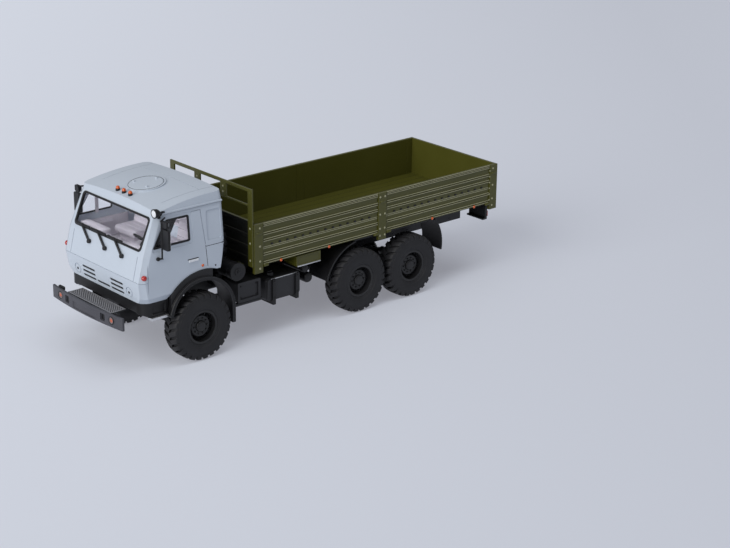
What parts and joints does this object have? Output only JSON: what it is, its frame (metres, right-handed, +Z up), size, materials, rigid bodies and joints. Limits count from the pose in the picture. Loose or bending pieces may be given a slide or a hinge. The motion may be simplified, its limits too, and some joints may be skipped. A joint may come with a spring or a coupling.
{
  "type": "cargo truck scale model",
  "caption": "Collector's model of an off-road military cargo truck: forward-control cab with round roof hatch, long drop-side load bed and freely rolling wheels on bored axles.",
  "frame": {"origin": "middle of the model's footprint, on the ground under the tyres", "axes": "+X forward to the bumper, +Y to the vehicle's left, +Z up"},
  "size_m": [0.2082, 0.0684, 0.0718],
  "materials": {
    "cab_paint": "satin pale blue-grey enamel",
    "bed_paint": "satin olive green enamel",
    "black_plastic": "satin black moulding",
    "grey_plastic": "dark grey moulding",
    "cab_trim": "light grey moulding",
    "rubber_seal": "black seal",
    "clear_glazing": "clear",
    "step_steel": "silver paint",
    "mirror": "bright foil",
    "orange_lens": "orange lens",
    "red_lens": "red lens",
    "tyre_rubber": "matte black rubber",
    "wheel_black": "satin black"
  },
  "bodies": {
    "truck": {"chassis_frame": "black_plastic", "front_axle": "black_plastic", "middle_axle": "black_plastic", "rear_axle": "black_plastic", "leaf_springs": "black_plastic", "engine_gearbox": "grey_plastic", "radiator": "grey_plastic", "transfer_case": "grey_plastic", "drive_shafts": "grey_plastic", "bumper": "grey_plastic", "bumper_lamps": "orange_lens", "bumper_step": "grey_plastic", "cab_shell": "cab_paint", "windscreen_seal": "rubber_seal", "cab_glass": "clear_glazing", "wipers": "black_plastic", "cab_interior": "cab_trim", "cab_seats": "cab_trim", "steering_wheel": "black_plastic", "cab_apron": "black_plastic", "cab_steps": "step_steel", "roof_hatch": "cab_paint", "roof_lamps": "orange_lens", "marker_lamps": "orange_lens", "search_lamp": "black_plastic", "mirrors": "black_plastic", "mirror_glass": "mirror", "door_handles": "black_plastic", "front_fenders": "black_plastic", "air_cleaner": "black_plastic", "battery_box": "grey_plastic", "fuel_tanks": "grey_plastic", "tank_straps": "black_plastic", "air_reservoirs": "black_plastic", "tool_box": "bed_paint", "rear_mudguards": "black_plastic", "bed_floor": "bed_paint", "bed_front_wall": "bed_paint", "bed_posts": "bed_paint", "bed_sides": "bed_paint", "tailgate": "bed_paint", "head_rail": "bed_paint", "rear_lamp_brackets": "black_plastic", "rear_lamps": "red_lens", "spare_tyre": "tyre_rubber", "spare_rim": "wheel_black", "spare_carrier": "black_plastic"},
    "wheel_front_left": {"tyre_front_left": "tyre_rubber", "rim_front_left": "wheel_black"},
    "wheel_front_right": {"tyre_front_right": "tyre_rubber", "rim_front_right": "wheel_black"},
    "wheel_middle_left": {"tyre_middle_left": "tyre_rubber", "rim_middle_left": "wheel_black"},
    "wheel_middle_right": {"tyre_middle_right": "tyre_rubber", "rim_middle_right": "wheel_black"},
    "wheel_rear_left": {"tyre_rear_left": "tyre_rubber", "rim_rear_left": "wheel_black"},
    "wheel_rear_right": {"tyre_rear_right": "tyre_rubber", "rim_rear_right": "wheel_black"}
  },
  "joints": [
    {"name": "wheel_front_left_turn", "type": "hinge", "parent": "truck", "child": "wheel_front_left", "pos_m": [0.06645, 0.0266, 0.0145], "axis": [0, 1, 0], "continuous": true},
    {"name": "wheel_front_right_turn", "type": "hinge", "parent": "truck", "child": "wheel_front_right", "pos_m": [0.06645, -0.0266, 0.0145], "axis": [0, 1, 0], "continuous": true},
    {"name": "wheel_middle_left_turn", "type": "hinge", "parent": "truck", "child": "wheel_middle_left", "pos_m": [-0.01935, 0.0266, 0.0145], "axis": [0, 1, 0], "continuous": true},
    {"name": "wheel_middle_right_turn", "type": "hinge", "parent": "truck", "child": "wheel_middle_right", "pos_m": [-0.01935, -0.0266, 0.0145], "axis": [0, 1, 0], "continuous": true},
    {"name": "wheel_rear_left_turn", "type": "hinge", "parent": "truck", "child": "wheel_rear_left", "pos_m": [-0.05005, 0.0266, 0.0145], "axis": [0, 1, 0], "continuous": true},
    {"name": "wheel_rear_right_turn", "type": "hinge", "parent": "truck", "child": "wheel_rear_right", "pos_m": [-0.05005, -0.0266, 0.0145], "axis": [0, 1, 0], "continuous": true}
  ]
}
